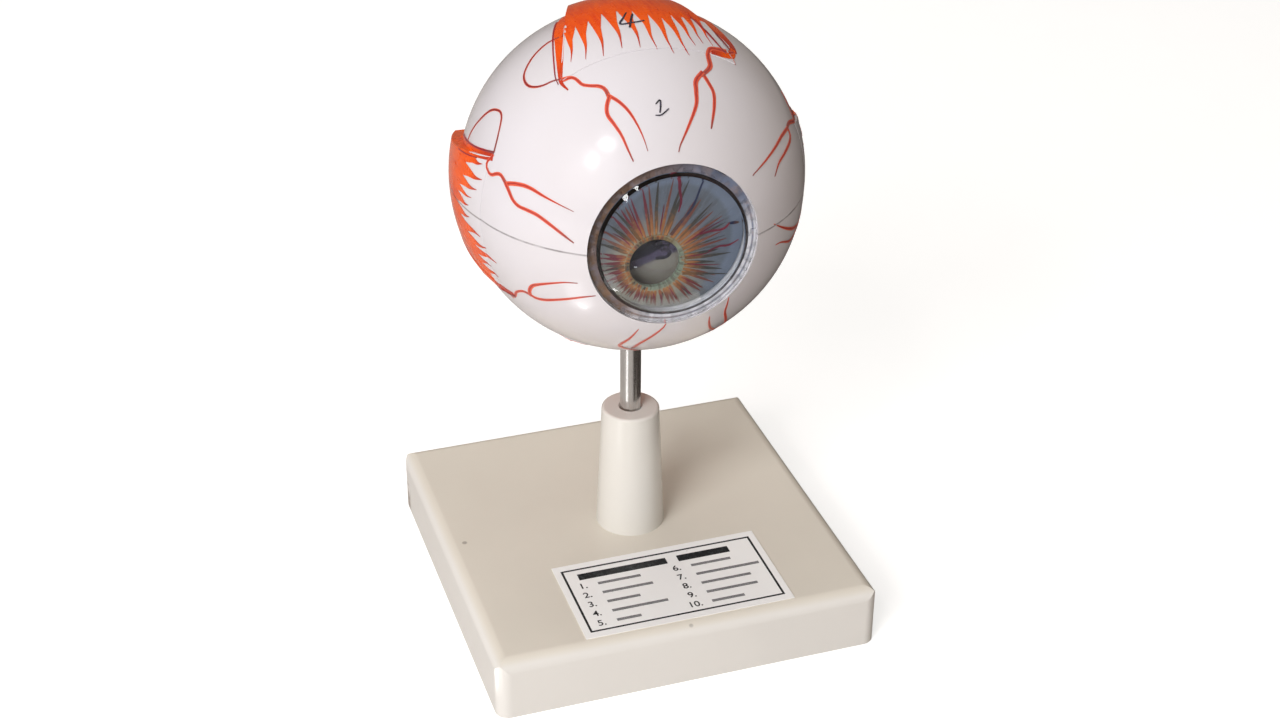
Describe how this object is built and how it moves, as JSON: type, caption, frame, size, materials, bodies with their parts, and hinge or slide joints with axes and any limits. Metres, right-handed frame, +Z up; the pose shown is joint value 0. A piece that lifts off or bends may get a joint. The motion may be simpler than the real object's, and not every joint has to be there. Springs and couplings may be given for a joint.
{
  "type": "eye anatomy model",
  "caption": "Take-apart model of the eye on a square stand: split white shell with raised muscles, clear cornea, iris, lens and vitreous that lift or pull out.",
  "frame": {"origin": "centre of the stand's underside, on the table", "axes": "+Z up through the rod and the ball, -Y to the front, where the cornea and the label are"},
  "size_m": [0.15, 0.15, 0.2381],
  "materials": {
    "base_plastic": "moulded ABS, satin gloss",
    "pillar_plastic": "moulded ABS, satin gloss",
    "screw_steel": "zinc plated",
    "label": "printed film, black frame and numerals",
    "rod_steel": "drawn steel rod",
    "socket_metal": "turned",
    "sclera": "white lacquered plastic with painted vessels",
    "choroid": "dark red-brown paint",
    "retina": "orange-yellow paint with vessels",
    "ciliary": "brown paint",
    "muscle": "orange-red paint, white tendon fibres in front",
    "nerve_sheath": "cream paint",
    "nerve_fibres": "pale yellow paint",
    "vessels": "red and blue paint",
    "cornea": "clear acrylic",
    "iris": "painted disc, blue-grey with orange-brown rays",
    "lens": "clear acrylic",
    "vitreous": "clear cast resin"
  },
  "bodies": {
    "stand": {"base_plate": "base_plastic", "pillar": "pillar_plastic", "pillar_screw": "screw_steel", "label_plate": "label"},
    "rod": {"support_rod": "rod_steel"},
    "lower_half": {"rod_socket": "socket_metal", "sclera_lower": "sclera", "choroid_lower": "choroid", "retina_lower": "retina", "ciliary_ring_lower": "ciliary", "inferior_rectus": "muscle", "lateral_rectus_lower": "muscle", "medial_rectus_lower": "muscle", "nerve_sheath": "nerve_sheath", "nerve_fibres": "nerve_fibres", "central_vessels": "vessels"},
    "upper_half": {"sclera_upper": "sclera", "choroid_upper": "choroid", "retina_upper": "retina", "ciliary_ring_upper": "ciliary", "superior_rectus": "muscle", "lateral_rectus_upper": "muscle", "medial_rectus_upper": "muscle"},
    "cornea": {"cornea": "cornea"},
    "iris": {"iris": "iris"},
    "vitreous": {"vitreous": "vitreous"},
    "lens": {"lens": "lens"}
  },
  "joints": [
    {"name": "rod_lift", "type": "slide", "parent": "stand", "child": "rod", "axis": [0, 0, 1], "range_m": [0, 0.06]},
    {"name": "eye_swivel", "type": "hinge", "parent": "rod", "child": "lower_half", "pos_m": [0, 0, 0.1115], "axis": [0, 0, 1], "continuous": true},
    {"name": "upper_half_lift", "type": "slide", "parent": "lower_half", "child": "upper_half", "axis": [0, 0, 1], "range_m": [0, 0.16]},
    {"name": "vitreous_lift", "type": "slide", "parent": "lower_half", "child": "vitreous", "axis": [0, 0, 1], "range_m": [0, 0.08]},
    {"name": "cornea_pull", "type": "slide", "parent": "lower_half", "child": "cornea", "axis": [-0.0523, -0.9986, 0], "range_m": [0, 0.09]},
    {"name": "iris_pull", "type": "slide", "parent": "lower_half", "child": "iris", "axis": [-0.0523, -0.9986, 0], "range_m": [0, 0.063]},
    {"name": "lens_pull", "type": "slide", "parent": "vitreous", "child": "lens", "axis": [-0.0523, -0.9986, 0], "range_m": [0, 0.036]}
  ],
  "couplings": [
    {"joint": "vitreous_lift", "follows": "upper_half_lift", "ratio": 0.5},
    {"joint": "iris_pull", "follows": "cornea_pull", "ratio": 0.7},
    {"joint": "lens_pull", "follows": "cornea_pull", "ratio": 0.4}
  ]
}
